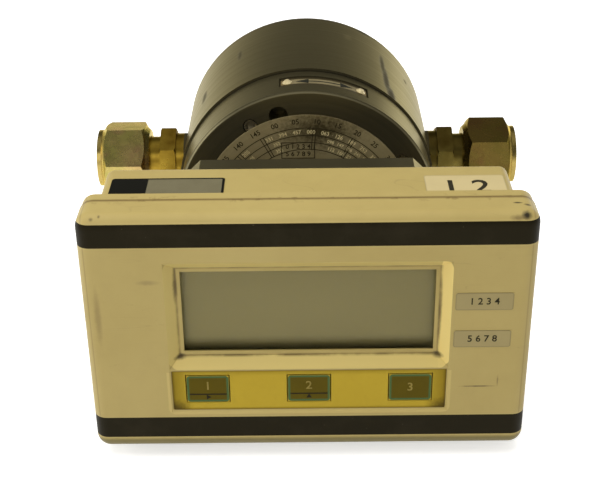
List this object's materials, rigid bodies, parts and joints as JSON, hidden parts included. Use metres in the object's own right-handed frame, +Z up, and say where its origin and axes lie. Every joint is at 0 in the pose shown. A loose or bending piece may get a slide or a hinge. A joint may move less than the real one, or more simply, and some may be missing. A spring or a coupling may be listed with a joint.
{
  "type": "turbine flow meter",
  "caption": "Cylindrical in-line flow meter body on a foot, with swivel nut pipe fittings each side and a panel display head on a short neck in front.",
  "frame": {"origin": "on the standing surface, under the middle of the bounding box", "axes": "+X along the pipe from inlet to outlet, -Y out of the display, +Z up"},
  "size_m": [0.1728, 0.1702, 0.099],
  "materials": {
    "cream_plastic": "satin, yellowed cream",
    "black_print": "matt near-black print",
    "clear_window": "clear polished",
    "lcd_glass": "grey-green liquid crystal",
    "black_rubber": "matt black",
    "black_plastic": "satin black",
    "gold_film": "golden yellow film",
    "olive_key": "olive brown",
    "green_plastic": "green laminate",
    "pale_label": "off-white film",
    "grey_foil": "grey and black foil",
    "zinc_screws": "plain zinc or stainless",
    "dark_metal": "dark anodised, satin",
    "plate_metal": "satin engraved",
    "brass_parts": "dull brass",
    "yellow_zinc": "yellow passivated zinc",
    "wheel_plastic": "natural engineering plastic",
    "magnet_ferrite": "dark ferrite"
  },
  "bodies": {
    "meter": {"adapter_plate": "dark_metal", "arrow_plate": "plate_metal", "arrow_plate_rivets": "brass_parts", "battery": "zinc_screws", "battery_holder": "black_plastic", "board_components": "black_plastic", "board_screws": "zinc_screws", "contact_strips": "black_rubber", "cover_o_ring": "black_rubber", "cover_screws": "zinc_screws", "display_frame": "black_plastic", "display_glass": "lcd_glass", "front_bearing": "wheel_plastic", "front_bezel": "cream_plastic", "front_cover": "dark_metal", "gland_body": "black_plastic", "gland_cap": "black_plastic", "gland_locknut": "black_plastic", "gland_seal": "black_rubber", "grey_label": "grey_foil", "inlet_seal": "black_rubber", "inlet_stud": "brass_parts", "jet_ring": "wheel_plastic", "key_switches": "black_plastic", "keypad_membrane": "gold_film", "lower_strip": "black_print", "lower_unit_sticker": "pale_label", "main_board": "green_plastic", "meter_body": "dark_metal", "neck": "dark_metal", "neck_screws": "zinc_screws", "outlet_seal": "black_rubber", "outlet_stud": "brass_parts", "plate_screws": "zinc_screws", "rating_plate": "plate_metal", "rear_bearing": "wheel_plastic", "rear_case": "cream_plastic", "sensor_lead": "black_plastic", "sensor_locknut": "zinc_screws", "sensor_probe": "zinc_screws", "shell_screws": "zinc_screws", "shell_seal": "black_rubber", "terminal_block": "green_plastic", "upper_strip": "black_print", "upper_unit_sticker": "pale_label", "white_label": "pale_label", "window": "clear_window", "window_seal": "black_rubber"},
    "turbine": {"turbine_wheel": "wheel_plastic", "wheel_magnets": "magnet_ferrite", "wheel_shaft": "zinc_screws"},
    "inlet_swivel_nut": {"inlet_nut": "yellow_zinc"},
    "outlet_swivel_nut": {"outlet_nut": "yellow_zinc"},
    "left_key": {"key_left": "olive_key"},
    "middle_key": {"key_middle": "olive_key"},
    "right_key": {"key_right": "olive_key"}
  },
  "joints": [
    {"name": "turbine_spin", "type": "hinge", "parent": "meter", "child": "turbine", "pos_m": [0, 0.055, 0.0485], "axis": [0, 1, 0], "continuous": true},
    {"name": "inlet_nut_turn", "type": "hinge", "parent": "meter", "child": "inlet_swivel_nut", "pos_m": [-0.075, 0.055, 0.0485], "axis": [-1, 0, 0], "continuous": true},
    {"name": "outlet_nut_turn", "type": "hinge", "parent": "meter", "child": "outlet_swivel_nut", "pos_m": [0.075, 0.055, 0.0485], "axis": [1, 0, 0], "continuous": true},
    {"name": "left_key_press", "type": "slide", "parent": "meter", "child": "left_key", "axis": [0, 1, 0], "range_m": [0, 0.0004], "stiffness_N_per_m": 2500, "springref_m": -0.0002},
    {"name": "middle_key_press", "type": "slide", "parent": "meter", "child": "middle_key", "axis": [0, 1, 0], "range_m": [0, 0.0004], "stiffness_N_per_m": 2500, "springref_m": -0.0002},
    {"name": "right_key_press", "type": "slide", "parent": "meter", "child": "right_key", "axis": [0, 1, 0], "range_m": [0, 0.0004], "stiffness_N_per_m": 2500, "springref_m": -0.0002}
  ]
}
